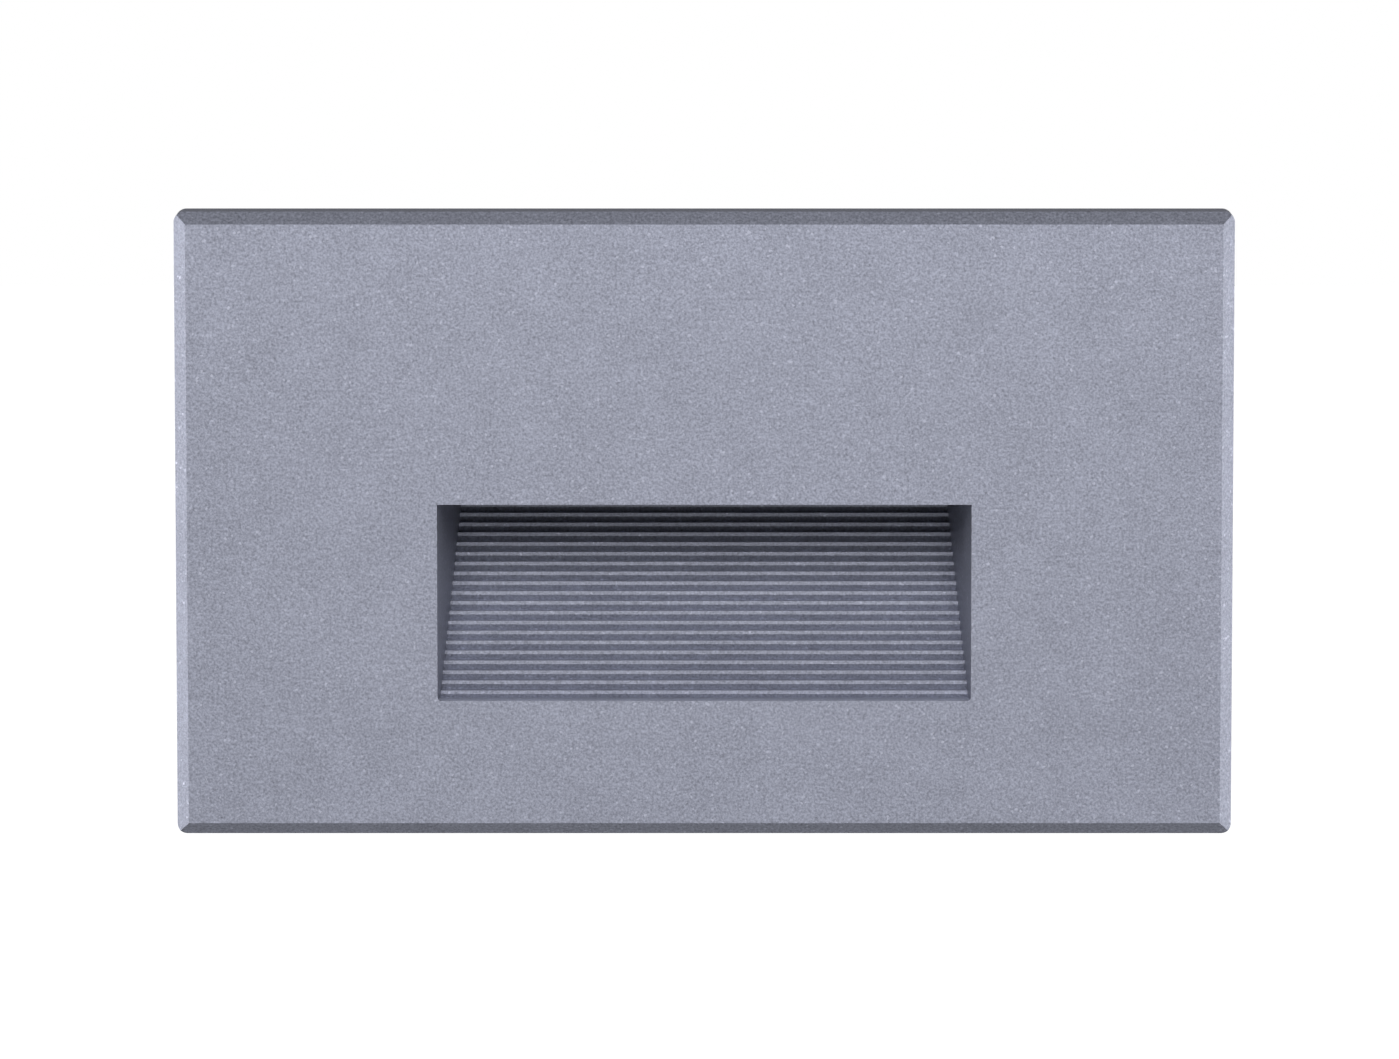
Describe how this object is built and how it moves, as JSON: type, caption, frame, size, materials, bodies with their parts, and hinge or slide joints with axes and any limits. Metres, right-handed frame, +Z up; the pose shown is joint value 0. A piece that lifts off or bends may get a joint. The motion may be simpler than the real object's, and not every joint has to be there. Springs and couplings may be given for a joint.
{
  "type": "step light",
  "caption": "Horizontal recessed step light: bevelled metallic grey plate with a scoop over a ribbed sloping floor, hidden lamp, driver housing behind and a wall bracket.",
  "frame": {"origin": "midway between the wall bracket's two screw slots, in the wall's face", "axes": "+Z up, +Y into the wall, +X to the right when one looks at the plate from the front (-Y)"},
  "size_m": [0.12, 0.0486, 0.071],
  "materials": {
    "grey_powder_coat": "fine metallic powder coat",
    "foam": "closed-cell foam",
    "zinc_steel": "zinc plated sheet",
    "green_screw": "green passivated",
    "silicone": "moulded silicone",
    "frosted_lens": "frosted",
    "white_plastic": "moulded",
    "lamp": "phosphor",
    "white_board": "white solder mask",
    "thermal_pad": "soft pad",
    "bare_aluminium": "extruded",
    "screw_steel": "zinc plated",
    "black_plastic": "spark-eroded moulding",
    "insulation": "film",
    "rubber": "moulded rubber",
    "green_board": "solder mask",
    "ferrite": "pressed ferrite",
    "tape": "yellow film tape",
    "capacitor_sleeve": "shrunk sleeve",
    "film_box": "moulded box",
    "varistor_blue": "dipped resin",
    "fuse_ceramic": "glazed tube",
    "heat_shrink": "shrunk sleeve",
    "chip_black": "moulded epoxy",
    "terminal_green": "moulded",
    "red_wire": "extruded",
    "black_wire": "extruded",
    "spring_steel": "hardened strip"
  },
  "bodies": {
    "wall_bracket": {"mounting_bracket": "zinc_steel", "ground_screw": "green_screw"},
    "light": {"faceplate": "grey_powder_coat", "wall_gasket": "foam", "lens_gasket": "silicone", "lens": "frosted_lens", "reflector_frame": "white_plastic", "led_packages": "lamp", "led_board": "white_board", "thermal_pad": "thermal_pad", "heat_spreader": "bare_aluminium", "led_board_screws": "screw_steel", "spreader_screws": "screw_steel", "led_connector": "white_plastic", "housing_gasket": "silicone", "driver_housing": "black_plastic", "insulation_sheet": "insulation", "cover_gasket": "silicone", "rear_cover": "black_plastic", "cable_grommet": "rubber", "housing_screws": "screw_steel", "driver_board": "green_board", "driver_board_screws": "screw_steel", "transformer_bobbin": "black_plastic", "transformer_core": "ferrite", "transformer_winding": "tape", "bulk_capacitors": "capacitor_sleeve", "output_capacitor": "capacitor_sleeve", "film_capacitor": "film_box", "varistor": "varistor_blue", "fuse": "fuse_ceramic", "choke": "heat_shrink", "bridge_rectifier": "chip_black", "controller_chip": "chip_black", "terminal_block": "terminal_green", "terminal_screws": "screw_steel", "output_connector": "white_plastic", "red_lead": "red_wire", "black_lead": "black_wire", "right_spring": "spring_steel", "left_spring": "spring_steel", "spring_rivets": "bare_aluminium"}
  },
  "joints": [
    {"name": "light_pull_off", "type": "slide", "parent": "wall_bracket", "child": "light", "axis": [0, -1, 0], "range_m": [0, 0.045]}
  ]
}
